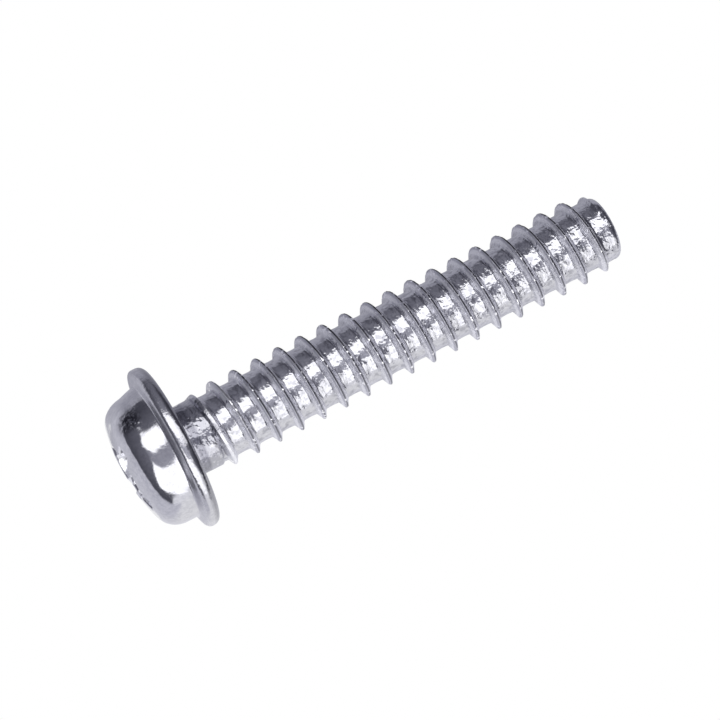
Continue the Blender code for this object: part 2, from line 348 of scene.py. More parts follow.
thread_sizes = {
    "Pitch": PITCH,
    "Crest radius": CREST_RADIUS,
    "Core radius": CORE_OF_THREAD,
    "Core waist": 0.02 * MM,
    "Core swell": 0.06 * MM,
    "Swell start": 4.0 * MM,
    "Swell end": 24.0 * MM,
    "Crest flat": CREST_FLAT,
    "Crest round": 0.12 * MM,
    "Flank slope": tan(FLANK_ANGLE),
    "Foot curve": 0.08 * MM,
    "First crest": FIRST_CREST,
    "First column": CROSS_TURN,
    "Start": NECK_RING,
    "End": LENGTH - END_ROUND,
    "Neck radius": NECK_RADIUS,
    "Neck end": NECK_END,
    "Neck slope": 0.25 * MM,
    "Neck blend": 0.10 * MM,
    "Rise start": 1.05 * MM,
    "Rise length": 2.40 * MM,
    "Fade end": LENGTH - 0.40 * MM,
    "Fade length": 3.20 * MM,
    "End cone": tan(radians(30.0)),
    "Nick depth": 0.04 * MM,
    "Nick size": 0.45 * MM,
    "Seed": 4.0,
}
tree = bpy.data.node_groups.new("rolled_thread", "GeometryNodeTree")
for name in thread_sizes:
    tree.interface.new_socket(name, in_out="INPUT", socket_type="NodeSocketFloat")
for name in ("Columns", "Rows a turn"):
    tree.interface.new_socket(name, in_out="INPUT", socket_type="NodeSocketInt")
tree.interface.new_socket("Finish", in_out="INPUT", socket_type="NodeSocketMaterial")
tree.interface.new_socket("Thread", in_out="OUTPUT", socket_type="NodeSocketGeometry")
size = tree.nodes.new("NodeGroupInput").outputs
math = "ShaderNodeMath"

# A sheet of rows along the screw and columns round it, each column a little further on
cover = add_node(tree, math, {0: size["End"], 1: size["Start"]}, operation="SUBTRACT")
cover = add_node(tree, math, {0: cover, 1: size["Pitch"]}, operation="ADD")
step = add_node(tree, math, {0: size["Pitch"], 1: size["Rows a turn"]}, operation="DIVIDE")
rows = add_node(tree, math, {0: cover, 1: step}, operation="DIVIDE")
rows = add_node(tree, math, {0: rows}, operation="CEIL")
length = add_node(tree, math, {0: rows, 1: step}, operation="MULTIPLY")
row_points = add_node(tree, math, {0: rows, 1: 1.0}, operation="ADD")
column_points = add_node(tree, math, {0: size["Columns"], 1: 1.0}, operation="ADD")
sheet = add_node(tree, "GeometryNodeMeshGrid", {"Size X": 1.0, "Size Y": length,
                 "Vertices X": column_points, "Vertices Y": row_points})
place = add_node(tree, "GeometryNodeInputPosition", {})
split = add_node(tree, "ShaderNodeSeparateXYZ", {0: place}).node.outputs
turn = add_node(tree, math, {0: split["X"], 1: 0.5}, operation="ADD")
first = add_node(tree, math, {0: size["Start"], 1: size["Pitch"]}, operation="SUBTRACT")
first = add_node(tree, math, {0: length, 1: 0.5, 2: first}, operation="MULTIPLY_ADD")
along = add_node(tree, math, {0: turn, 1: size["Pitch"], 2: split["Y"]}, operation="MULTIPLY_ADD")
along = add_node(tree, math, {0: along, 1: first}, operation="ADD")
angle = add_node(tree, math, {0: turn, 1: 2.0 * pi, 2: size["First column"]},
                 operation="MULTIPLY_ADD")

# How far each point is from the middle of the crest, along the screw
turns = add_node(tree, math, {0: angle, 1: 2.0 * pi}, operation="DIVIDE")
crest = add_node(tree, math, {0: turns, 1: size["Pitch"], 2: size["First crest"]},
                 operation="MULTIPLY_ADD")
away = add_node(tree, math, {0: along, 1: crest}, operation="SUBTRACT")
half_pitch = add_node(tree, math, {0: size["Pitch"], 1: 0.5}, operation="MULTIPLY")
low_pitch = add_node(tree, math, {0: size["Pitch"], 1: -0.5}, operation="MULTIPLY")
away = add_node(tree, math, {0: away, 1: half_pitch, 2: low_pitch}, operation="WRAP")

# Rows stand closer together at the crest than on the core
spread = add_node(tree, math, {0: away, 1: size["Pitch"]}, operation="DIVIDE")
spread = add_node(tree, math, {0: spread, 1: 2.0 * pi}, operation="MULTIPLY")
spread = add_node(tree, math, {0: spread}, operation="SINE")
draw_in = add_node(tree, math, {0: size["Pitch"], 1: -ROW_DRAW / (2.0 * pi)},
                   operation="MULTIPLY")
draw_in = add_node(tree, math, {0: spread, 1: draw_in}, operation="MULTIPLY")
along = add_node(tree, math, {0: along, 1: draw_in}, operation="ADD")
along = add_node(tree, "ShaderNodeClamp",
                 {"Value": along, "Min": size["Start"], "Max": size["End"]})
away = add_node(tree, math, {0: along, 1: crest}, operation="SUBTRACT")
away = add_node(tree, math, {0: away, 1: half_pitch, 2: low_pitch}, operation="WRAP")
away = add_node(tree, math, {0: away}, operation="ABSOLUTE")

# The tooth: straight flanks, a rounded crest and a curve at the foot
full = add_node(tree, math, {0: size["Crest radius"], 1: size["Core radius"]},
                operation="SUBTRACT")
half_flat = add_node(tree, math, {0: size["Crest flat"], 1: 0.5}, operation="MULTIPLY")
half_foot = add_node(tree, math, {0: full, 1: size["Flank slope"], 2: half_flat},
                     operation="MULTIPLY_ADD")
flank = add_node(tree, math, {0: half_foot, 1: away}, operation="SUBTRACT")
flank = add_node(tree, math, {0: flank, 1: size["Flank slope"]}, operation="DIVIDE")

# It rises out of the neck, so the first turn is lower and its crest is wider
rise = add_node(tree, math, {0: along, 1: size["Rise start"]}, operation="SUBTRACT")
rise = add_node(tree, math, {0: rise, 1: size["Rise length"]}, operation="DIVIDE", use_clamp=True)
rise = add_node(tree, math, {0: rise, 1: pi / 2}, operation="MULTIPLY")
rise = add_node(tree, math, {0: rise}, operation="SINE")
grown_to = add_node(tree, math, {0: full, 1: rise}, operation="MULTIPLY")
tooth = add_node(tree, math, {0: flank, 1: grown_to, 2: size["Crest round"]},
                 operation="SMOOTH_MIN")
tooth = add_node(tree, math, {0: tooth, 1: 0.0, 2: size["Foot curve"]}, operation="SMOOTH_MAX")

# Nicks where the two sides of the rolled crest close over each other
across = add_node(tree, math, {0: angle}, operation="COSINE")
upward = add_node(tree, math, {0: angle}, operation="SINE")
spot = add_node(tree, "ShaderNodeCombineXYZ", {"X": across, "Y": upward, "Z": 0.0})
spot = add_node(tree, "ShaderNodeVectorMath", {0: spot, "Scale": size["Crest radius"]},
                operation="SCALE")
lengthways = add_node(tree, "ShaderNodeCombineXYZ", {"Z": along})
spot = add_node(tree, "ShaderNodeVectorMath", {0: spot, 1: lengthways}, operation="ADD")
grain = add_node(tree, math, {0: 1.0, 1: size["Nick size"]}, operation="DIVIDE")
nick = add_node(tree, "ShaderNodeTexNoise", {"Vector": spot, "W": size["Seed"], "Scale": grain,
                "Detail": 0.0}, noise_dimensions="4D")
nick = add_node(tree, "ShaderNodeMapRange", {"Value": nick, "From Min": NICK_RANGE[0],
                "From Max": NICK_RANGE[1]}, interpolation_type="SMOOTHSTEP")
near_tooth = add_node(tree, math, {0: tooth, 1: full}, operation="DIVIDE")
near_crest = add_node(tree, "ShaderNodeMapRange", {"Value": near_tooth, "From Min": NICKED[0],
                      "From Max": NICKED[1]}, interpolation_type="SMOOTHSTEP")
nick = add_node(tree, math, {0: nick, 1: near_crest}, operation="MULTIPLY")
nick = add_node(tree, math, {0: nick, 1: size["Nick depth"]}, operation="MULTIPLY")
tooth = add_node(tree, math, {0: tooth, 1: nick}, operation="SUBTRACT")

# It sinks into the core before the end
fade = add_node(tree, math, {0: size["Fade end"], 1: along}, operation="SUBTRACT")
fade = add_node(tree, math, {0: fade, 1: size["Fade length"]}, operation="DIVIDE", use_clamp=True)
fade = add_node(tree, math, {0: 1.0, 1: fade}, operation="SUBTRACT")
fade = add_node(tree, math, {0: fade, 1: fade}, operation="MULTIPLY")
fade = add_node(tree, math, {0: 1.0, 1: fade}, operation="SUBTRACT")
fade = add_node(tree, math, {0: fade}, operation="SQRT")
tooth = add_node(tree, math, {0: tooth, 1: fade}, operation="MULTIPLY")

# The core, hollow between two turns, under the neck at one end and trimmed at the other
hollow = add_node(tree, "ShaderNodeMapRange", {"Value": away, "From Min": half_foot,
                  "From Max": half_pitch}, interpolation_type="SMOOTHSTEP")
to_end = add_node(tree, math, {0: size["End"], 1: along}, operation="SUBTRACT")
settle = add_node(tree, math, {0: to_end, 1: size["Core waist"]}, operation="MINIMUM")
hollow = add_node(tree, math, {0: hollow, 1: settle}, operation="MULTIPLY")
radius = add_node(tree, math, {0: size["Core radius"], 1: tooth}, operation="ADD")
radius = add_node(tree, math, {0: radius, 1: hollow}, operation="SUBTRACT")
swell = add_node(tree, "ShaderNodeMapRange", {"Value": along, "From Min": size["Swell start"],
                 "From Max": size["Swell end"], "To Min": size["Core swell"], "To Max": 0.0},
                 interpolation_type="SMOOTHSTEP")
off_middle = add_node(tree, math, {0: across, 1: -SWELL_LEAN, 2: 1.0},
                      operation="MULTIPLY_ADD")
swell = add_node(tree, math, {0: swell, 1: off_middle}, operation="MULTIPLY")
low_down = add_node(tree, math, {0: 1.0, 1: near_tooth}, operation="SUBTRACT")
swell = add_node(tree, math, {0: swell, 1: low_down}, operation="MULTIPLY")
radius = add_node(tree, math, {0: radius, 1: swell}, operation="ADD")
slope_end = add_node(tree, math, {0: size["Neck end"], 1: size["Neck slope"]}, operation="ADD")
sunk = add_node(tree, math, {0: size["Core radius"], 1: size["Neck slope"]}, operation="SUBTRACT")
neck = add_node(tree, "ShaderNodeMapRange", {"Value": along, "From Min": size["Neck end"],
                "From Max": slope_end, "To Min": size["Neck radius"], "To Max": sunk})
radius = add_node(tree, math, {0: radius, 1: neck, 2: size["Neck blend"]},
                  operation="SMOOTH_MAX")
trim = add_node(tree, math, {0: to_end, 1: size["End cone"]}, operation="DIVIDE")
trim = add_node(tree, math, {0: trim, 1: size["Core radius"]}, operation="ADD")
radius = add_node(tree, math, {0: radius, 1: trim}, operation="MINIMUM")

x = add_node(tree, math, {0: across, 1: radius}, operation="MULTIPLY")
y = add_node(tree, math, {0: upward, 1: radius}, operation="MULTIPLY")
place = add_node(tree, "ShaderNodeCombineXYZ", {"X": x, "Y": y, "Z": along})
thread = add_node(tree, "GeometryNodeSetPosition", {"Geometry": sheet, "Position": place})
thread = add_node(tree, "GeometryNodeMergeByDistance", {"Geometry": thread, "Distance": WELD})
thread = add_node(tree, "GeometryNodeRealizeInstances", {"Geometry": thread})
thread = add_node(tree, "GeometryNodeSetMaterial",
                  {"Geometry": thread, "Material": size["Finish"]})
result = tree.nodes.new("NodeGroupOutput")
tree.links.new(thread, result.inputs["Thread"])


# Zinc plate
# Bright electroplated zinc, a few thousandths of a millimetre thick, over the whole
# screw: a cold, faintly violet grey metal that keeps the rolling and handling marks.


def colour(hex_code):
    """The linear colour of an sRGB hex value."""
    parts = [int(hex_code[i:i + 2], 16) / 255.0 for i in (0, 2, 4)]
    return (*(p / 12.92 if p <= 0.04045 else ((p + 0.055) / 1.055) ** 2.4 for p in parts), 1.0)


mount = frame["record"]["mounts"][0]
axis = Vector(mount["axis"]).normalized()
sideways = Vector((0.0, 1.0, 0.0))
near = axis.cross(sideways)
face_middle = (NECK_RADIUS + FILLET_RADIUS + FLANGE_RADIUS - RIM_ROUND_UNDER) / 2.0
bearing_centre = Vector(mount["pos_m"]) - near * face_middle

# Marks in the plate: how many to the millimetre, and their depth in mm
MOTTLE_TO_MM = 2.4            # 0.4 mm across, left by the dies
STREAKS_TO_MM = 3.5           # 0.3 mm wide, round the shank,
STREAKS_TO_RADIAN = 1.6       # and 1.5 mm long
DENTS_TO_MM = 1.4             # 0.7 mm across, from handling
GRAIN_TO_MM = 9.0             # 0.1 mm, coarser than the real grain, so that it shows
CRUMPLES_TO_MM = 3.2          # 0.3 mm across, and so are beads and smudges
BEADS_TO_MM = 3.2
SMUDGES_TO_MM = 3.2
CLOUDS_TO_MM = 0.5            # 2 mm across
DIE_MARK_DEPTH = (0.032, 0.090)    # at the neck, and where the dies worked longest
NECK_MARK_DEPTH = 0.05        # more on the neck
FLANK_SMOOTHER = 0.75         # share of the die marks that the flanks lack
DENT_DEPTH = 0.017
RIM_DENT_DEPTH = 0.035        # more on the flange's rim
GRAIN_DEPTH = 0.0006
CRUMPLE_DEPTH = 0.10
BRUISE = (-2.98, 2.98, 3.48)  # along the axis, toward +Y and toward the near side
BRUISE_REACH = (1.35, 0.45)   # from its middle: where it starts, and where it is full
LAP_OFFSET = 0.03             # from the middle of the crest toward the end
LAP_WIDTH = 0.08              # each way

zinc = bpy.data.materials.new("bright_zinc_plate")
zinc.use_nodes = True
plate = zinc.node_tree
plate_shader = plate.nodes["Principled BSDF"]
plate_shader.inputs["Metallic"].default_value = 1.0

# Millimetres along the screw's axis, toward its +Y side and toward its near side
place = add_node(plate, "ShaderNodeTexCoord", {}).node.outputs["Object"]
place = add_node(plate, "ShaderNodeMapping", {
    "Vector": place, "Scale": (1.0 / MM,) * 3, "Rotation": (0.0, -asin(-axis.z), 0.0),
    "Location": [-bearing_centre.dot(way) / MM for way in (axis, sideways, near)]})
parts = add_node(plate, "ShaderNodeSeparateXYZ", {0: place}).node.outputs
from_head = parts["X"]
turned = add_node(plate, math, {0: parts["Z"], 1: parts["Y"]}, operation="ARCTAN2")
off_axis = add_node(plate, "ShaderNodeCombineXYZ", {"Y": parts["Y"], "Z": parts["Z"]})
off_axis = add_node(plate, "ShaderNodeVectorMath", {0: off_axis}, output="Value",
                    operation="LENGTH")
# Where each kind of surface starts and where it is fully there, in mm
bands = {
    "shank": (from_head, 0.1, 0.6),
    # painted shade on the shank next to the flange
    "painted shade beside the flange": (from_head, 1.4, 1.0),
    "neck": (from_head, 2.5, 1.9),
    "past the neck": (from_head, 2.1, 2.7),
    "grown thread": (from_head, 3.2, 4.6),
    "head's side": (from_head, -0.95, -1.15),
    "flank": (off_axis, 2.56, 2.76),
    "crest": (off_axis, 2.86, 2.98),
    "flange": (off_axis, 5.1, 5.3),
    "rim": (off_axis, 5.5, 5.9),
}
on = {name: add_node(plate, "ShaderNodeMapRange",
                     {"Value": value, "From Min": start, "From Max": full})
      for name, (value, start, full) in bands.items()}
at_crest = add_node(plate, math, {0: on["crest"], 1: on["grown thread"]}, operation="MULTIPLY")
# On the flanks the plate is painted paler, as painted light; they are also smoother and duller
on_flank = add_node(plate, math, {0: on["flank"], 1: on["past the neck"]}, operation="MULTIPLY")
flange_top = add_node(plate, math, {0: on["flange"], 1: on["head's side"]}, operation="MULTIPLY")
# Inside the cross the plate is painted paler: painted light on the recess walls
in_recess = add_node(plate, "ShaderNodeAttribute", {}, output="Fac", attribute_name="in_recess")

# Marks of the dies: a mottle and streaks that run round the shank, both deeper toward the
# end, where the dies had worked longest, and on the neck
mottle = add_node(plate, "ShaderNodeTexNoise", {"Vector": place, "Scale": MOTTLE_TO_MM,
                  "Detail": 2.0, "Roughness": 0.5})
along_streak = add_node(plate, math, {0: from_head, 1: STREAKS_TO_MM}, operation="MULTIPLY")
round_streak = add_node(plate, math, {0: turned, 1: STREAKS_TO_RADIAN}, operation="MULTIPLY")
streak = add_node(plate, "ShaderNodeCombineXYZ", {"X": along_streak, "Y": round_streak})
streak = add_node(plate, "ShaderNodeTexNoise", {"Vector": streak, "Scale": 1.0, "Detail": 3.0})
worn = add_node(plate, "ShaderNodeMapRange", {
    "Value": from_head, "From Min": 2.0, "From Max": 28.0,
    "To Min": DIE_MARK_DEPTH[0], "To Max": DIE_MARK_DEPTH[1]})
worn = add_node(plate, math, {0: on["neck"], 1: NECK_MARK_DEPTH, 2: worn},
                operation="MULTIPLY_ADD")
worn = add_node(plate, math, {0: worn, 1: on["shank"]}, operation="MULTIPLY")
smooth = add_node(plate, math, {0: on_flank, 1: -FLANK_SMOOTHER, 2: 1.0},
                  operation="MULTIPLY_ADD")
worn = add_node(plate, math, {0: worn, 1: smooth}, operation="MULTIPLY")
die_marks = add_node(plate, math, {0: streak, 1: 0.35, 2: mottle}, operation="MULTIPLY_ADD")
relief = add_node(plate, math, {0: die_marks, 1: worn}, operation="MULTIPLY")

# Handling marks all over, deeper on the flange's rim, and the fine grain of the plate
dents = add_node(plate, "ShaderNodeTexNoise", {"Vector": place, "Scale": DENTS_TO_MM,
                 "Detail": 4.0, "Roughness": 0.6})
grain = add_node(plate, "ShaderNodeTexNoise", {"Vector": place, "Scale": GRAIN_TO_MM,
                 "Detail": 2.0})
dented = add_node(plate, math, {0: on["rim"], 1: RIM_DENT_DEPTH, 2: DENT_DEPTH},
                  operation="MULTIPLY_ADD")

# A crumpled patch on the head's shoulder, where the screw struck another one
bruise = add_node(plate, "ShaderNodeVectorMath", {0: place, 1: BRUISE}, output="Value",
                  operation="DISTANCE")
bruise = add_node(plate, "ShaderNodeMapRange", {
    "Value": bruise, "From Min": BRUISE_REACH[0], "From Max": BRUISE_REACH[1]},
    interpolation_type="SMOOTHSTEP")
crushed = add_node(plate, "ShaderNodeTexNoise", {"Vector": place, "Scale": CRUMPLES_TO_MM,
                   "Detail": 3.0})
crumple = add_node(plate, math, {0: crushed, 1: bruise}, operation="MULTIPLY")
for mark, depth in ((dents, dented), (grain, GRAIN_DEPTH), (crumple, CRUMPLE_DEPTH)):
    relief = add_node(plate, math, {0: mark, 1: depth, 2: relief}, operation="MULTIPLY_ADD")
bump = add_node(plate, "ShaderNodeBump", {"Height": relief, "Distance": MM}, output="Normal")
plate.links.new(bump, plate_shader.inputs["Normal"])

# Painted shade of the lap, where the rolled metal closed: a dark line along the end's side
# of the crest, weaker toward the -Y side
painted_lap_shade = add_node(plate, math, {0: turned, 1: -PITCH / MM / (2.0 * pi), 2: from_head},
               operation="MULTIPLY_ADD")
painted_lap_shade = add_node(plate, math, {0: painted_lap_shade, 1: FIRST_CREST / MM + LAP_OFFSET}, operation="SUBTRACT")
painted_lap_shade = add_node(plate, math, {0: painted_lap_shade, 1: 0.5 * PITCH / MM, 2: -0.5 * PITCH / MM},
               operation="WRAP")
painted_lap_shade = add_node(plate, math, {0: painted_lap_shade}, operation="ABSOLUTE")
painted_lap_shade = add_node(plate, "ShaderNodeMapRange", {"Value": painted_lap_shade, "From Min": LAP_WIDTH,
               "From Max": 0.35 * LAP_WIDTH}, interpolation_type="SMOOTHSTEP")
painted_lap_shade = add_node(plate, math, {0: painted_lap_shade, 1: at_crest}, operation="MULTIPLY")
painted_lap_shade_fade = add_node(plate, "ShaderNodeMapRange", {"Value": turned, "From Min": 1.7,
                   "From Max": 2.7, "To Min": 1.0, "To Max": 0.55})
painted_lap_shade = add_node(plate, math, {0: painted_lap_shade, 1: painted_lap_shade_fade}, operation="MULTIPLY")

# Bright beads break the lap's painted shade, where its edge was smeared flat
bead = add_node(plate, "ShaderNodeTexNoise", {"Vector": place, "Scale": BEADS_TO_MM,
                "Detail": 1.0})
bead = add_node(plate, "ShaderNodeMapRange", {"Value": bead, "From Min": 0.60, "From Max": 0.66})
no_bead = add_node(plate, math, {0: 1.0, 1: bead}, operation="SUBTRACT")
painted_lap_shade = add_node(plate, math, {0: painted_lap_shade, 1: no_bead}, operation="MULTIPLY")

# What the plate's shade and gloss vary with: clouds in the plating, stains in the mottle,
# painted shade beside the flange, smudges, painted shade on the rim's edge, and the bruise
clouds = add_node(plate, "ShaderNodeTexNoise", {"Vector": place, "Scale": CLOUDS_TO_MM,
                  "Detail": 3.0})
clouds = add_node(plate, "ShaderNodeMapRange", {"Value": clouds, "From Min": 0.35,
                  "From Max": 0.65})
stain_and_painted_shade = add_node(plate, math, {0: on["neck"], 1: -0.21, 2: mottle}, operation="MULTIPLY_ADD")
stain_and_painted_shade = add_node(plate, "ShaderNodeMapRange", {"Value": stain_and_painted_shade, "From Min": 0.50,
                 "From Max": 0.34, "To Min": 0.0, "To Max": 0.55})
# Next to the flange the shank is darkened by painted shade
stain_and_painted_shade = add_node(plate, math, {0: stain_and_painted_shade, 1: on["painted shade beside the flange"]}, operation="MAXIMUM")
stain_and_painted_shade = add_node(plate, math, {0: stain_and_painted_shade, 1: on["shank"]}, operation="MULTIPLY")
smudge = add_node(plate, "ShaderNodeTexNoise", {"Vector": place, "Scale": SMUDGES_TO_MM,
                  "Detail": 5.0, "Roughness": 0.7})
smudge = add_node(plate, "ShaderNodeMapRange", {"Value": smudge, "From Min": 0.42,
                  "From Max": 0.62, "To Min": 0.0, "To Max": 0.40})
# Painted shade along the rim's edge on the shank's side
painted_rim_shade = add_node(plate, "ShaderNodeMapRange", {"Value": from_head, "From Min": -0.60,
                    "From Max": -0.30, "To Min": 0.0, "To Max": 0.60})
painted_rim_shade = add_node(plate, math, {0: painted_rim_shade, 1: on["rim"]}, operation="MULTIPLY")
crushed = add_node(plate, "ShaderNodeMapRange", {"Value": crushed, "From Min": 0.62,
                   "From Max": 0.44, "To Min": 0.35, "To Max": 1.0})
crushed = add_node(plate, math, {0: crushed, 1: bruise}, operation="MULTIPLY")
thin = add_node(plate, math, {0: at_crest, 1: no_bead}, operation="MULTIPLY")
dull_flank = add_node(plate, math, {0: on_flank, 1: no_bead}, operation="MULTIPLY")

shade = add_node(plate, "ShaderNodeMix", {0: clouds, 6: colour("D0D0D6"), 7: colour("DADAE0")},
                 output=2, data_type="RGBA")
# Painted shade beside the flange, on the rim's edge and along the lap, and painted light inside
# the cross and on the flanks, are mixed in here with the real marks
wear_and_painted_light = (                      # how much of each shows, and its shade, the last on top
    (stain_and_painted_shade, "8A8A94"), (smudge, "B2B2BC"), (painted_rim_shade, "6E6E78"), (crushed, "5A5A64"),
    (in_recess, "F0F0F5"), (on_flank, "FAFAFF"), (thin, "CCCCD6"), (painted_lap_shade, "3C3C44"),
)
for amount, code in wear_and_painted_light:
    shade = add_node(plate, "ShaderNodeMix", {0: amount, 6: shade, 7: colour(code)},
                     output=2, data_type="RGBA")
plate.links.new(shade, plate_shader.inputs["Base Color"])
dull = add_node(plate, math, {0: grain, 1: 0.10, 2: 0.07}, operation="MULTIPLY_ADD")
for amount, added in ((in_recess, 0.05), (flange_top, 0.25), (on["rim"], 0.06),
                      (dull_flank, 0.44)):
    dull = add_node(plate, math, {0: amount, 1: added, 2: dull}, operation="MULTIPLY_ADD")
plate.links.new(dull, plate_shader.inputs["Roughness"])


# Finished screw
# The blank, its thread and its end are one piece of steel, so they become one closed skin.
# It lies on the flange's rim and on the thread near the end.

SHARP_ANGLE = radians(50.0)

holder = bpy.data.objects.new("thread", bpy.data.meshes.new("thread"))
bpy.context.scene.collection.objects.link(holder)
rolling = holder.modifiers.new("Rolling", "NODES")
rolling.node_group = tree
given = {**thread_sizes, "Columns": COLUMNS, "Rows a turn": ROWS_A_TURN, "Finish": zinc}
for item in tree.interface.items_tree:
    if item.in_out == "INPUT":
        rolling[item.identifier] = given[item.name]
bpy.context.view_layer.update()
rolled = bpy.data.meshes.new_from_object(
    holder.evaluated_get(bpy.context.evaluated_depsgraph_get()))
bpy.data.objects.remove(holder)

bm = bmesh.new()
bm.from_mesh(rolled)
bpy.data.meshes.remove(rolled)
recess_mark = bm.verts.layers.float.new("in_recess")
recess_rings = len(cross_loops) - 2     # all but the first two, at the rim of the cross
for vert in skin(bm, loops, recess_bottom)[-recess_rings * COLUMNS:]:
    vert[recess_mark] = 1.0
skin(bm, end_loops, Vector((0.0, 0.0, LENGTH)))
bmesh.ops.remove_doubles(bm, verts=bm.verts, dist=2.0 * WELD)
bmesh.ops.recalc_face_normals(bm, faces=bm.faces)

# Lying on the table, the axis slopes as the frame's bearing face says
lying = Matrix((sideways, near, axis)).transposed().to_4x4()
lying.translation = bearing_centre
bm.transform(lying)

mesh = bpy.data.meshes.new("zinc_plated_screw")
bm.to_mesh(mesh)
bm.free()
mesh.materials.append(zinc)
mesh.shade_smooth()
mesh.set_sharp_from_angle(angle=SHARP_ANGLE)
screw = bpy.data.objects.new("zinc_plated_screw", mesh)
bpy.context.scene.collection.objects.link(screw)
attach(screw, "root")
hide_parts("screw")


# Table
# A smooth white light table. It glows, so the screw leaves almost no shadow on it. What
# the plate mirrors from below is a glowing card with painted shade: the screw's painted
# shadow under and beside it, shading off to the far side of the screw.

TABLE_SIZE = 4.0
CARD_FAR_EDGE = 40.0 * MM     # beyond it, on the +Y side, the plate mirrors a dark room
CARD_END_EDGE = 30.0 * MM
CARD_BELOW = 0.05 * MM
CARD_PALE = (-26.0 * MM, -19.0 * MM)    # beyond the head the card is evenly pale
PAPER_EDGES = (-21.5 * MM, -14.0 * MM, -5.0 * MM, 5.0 * MM)
# The card's painted shade across it: the screw's shadow at and just past it, and dark toward the
# far edge
card_painted_shades = (               # across the card, from the near side, in mm, and its shade
    (-60.0, "FFFFFF"), (-12.0, "FAFAFA"), (-6.0, "ECECF2"), (-3.0, "D8D8E0"),
    (-1.0, "BEBEC6"), (2.0, "A2A2AC"), (6.0, "B8B8C2"), (12.0, "ACACB6"),
    (24.0, "A0A0AA"), (34.0, "5A5A63"),
)


def glowing(name, shade, strength):
    """A plain surface that only glows."""
    material = bpy.data.materials.new(name)
    material.use_nodes = True
    material.node_tree.nodes.clear()
    light = add_node(material.node_tree, "ShaderNodeEmission",
                     {"Color": shade, "Strength": strength})
    surface = material.node_tree.nodes.new("ShaderNodeOutputMaterial")
    material.node_tree.links.new(light, surface.inputs["Surface"])
    return material


def flat(name, low_x, high_x, low_y, high_y, z, material):
    """A level rectangle that isn't part of the screw."""
    sheet = bpy.data.meshes.new(name)
    sheet.from_pydata([(low_x, low_y, z), (high_x, low_y, z), (high_x, high_y, z),
                       (low_x, high_y, z)], [], [(0, 1, 2, 3)])
    sheet.materials.append(material)
    obj = bpy.data.objects.new(name, sheet)
    bpy.context.scene.collection.objects.link(obj)
    return obj


half = TABLE_SIZE / 2.0
white_acrylic = glowing("white_acrylic", colour("FFFFFF"), 1.0)
table = flat("table", -half, half, -half, half, 0.0, white_acrylic)
table.visible_glossy = False
painted_shadow_card_glow = glowing("card_with_painted_shadow", colour("FFFFFF"), 1.0)
card_tree = painted_shadow_card_glow.node_tree
card_place = add_node(card_tree, "ShaderNodeTexCoord", {}).node.outputs["Object"]
card_parts = add_node(card_tree, "ShaderNodeSeparateXYZ", {0: card_place}).node.outputs
low, high = card_painted_shades[0][0], card_painted_shades[-1][0]
card_across = add_node(card_tree, "ShaderNodeMapRange", {"Value": card_parts["Y"],
                       "From Min": low * MM, "From Max": high * MM})
shade = card_tree.nodes.new("ShaderNodeValToRGB")
card_tree.links.new(card_across, shade.inputs[0])
stops = shade.color_ramp.elements
while len(stops) < len(card_painted_shades):
    stops.new(0.5)
for stop, (where, code) in zip(stops, card_painted_shades):
    stop.position = (where - low) / (high - low)
    stop.color = colour(code)
beside = add_node(card_tree, "ShaderNodeMapRange", {"Value": card_parts["X"],
                  "From Min": CARD_PALE[0], "From Max": CARD_PALE[1]})
shade = add_node(card_tree, "ShaderNodeMix", {0: beside, 6: colour("D8D8E0"),
                 7: shade.outputs[0]}, output=2, data_type="RGBA")
card_tree.links.new(shade, card_tree.nodes["Emission"].inputs["Color"])
card = flat("card_with_painted_shadow", -half, CARD_END_EDGE, -half, CARD_FAR_EDGE, -CARD_BELOW, painted_shadow_card_glow)
card.visible_camera = False
white_paper = glowing("white_paper", colour("FFFFFF"), 1.0)
under_head = flat("paper_under_head", *PAPER_EDGES, -0.5 * CARD_BELOW, white_paper)
under_head.visible_camera = False


# Studio light
# Two large soft boxes hang over the screw, with a gap for the camera between them, and
# there is a pale wall on the -Y side. The rest of the room is dim, darker toward the head.

SOFT_BOX_HEIGHT = 0.60
middle = axis * (LENGTH / 2.0) + bearing_centre
soft_boxes = {                # corners over the height: toward the tip and toward +Y
    "soft_box_far": ((-0.736, 0.601), (-0.20, 0.18), (0.13, 0.02), (1.30, -0.08), (1.40, 0.26),
                     (-0.28, 1.17)),
    "soft_box_near": ((-0.607, -0.046), (-0.20, -0.364), (0.14, -0.42), (0.32, -0.76),
                      (3.06, -2.90), (1.34, -6.50), (0.30, -4.60), (-0.37, -2.60),
                      (-2.33, -1.80)),
}
glows = {"soft_box_far": (1.8, 1.8), "soft_box_near": (1.7, 1.0)}    # over head and tip
GLOW_LEAN = (0.16, 0.36)      # the leans toward the tip between which the glow changes
TO_TIP = (-0.02, 0.15)        # the headings between which the walls change to the tip's,
PAST_TIP = (0.36, 0.55)       # and change back
NEAR_WALL = (0.925, 0.965)    # how squarely to the -Y side the pale wall starts and is full


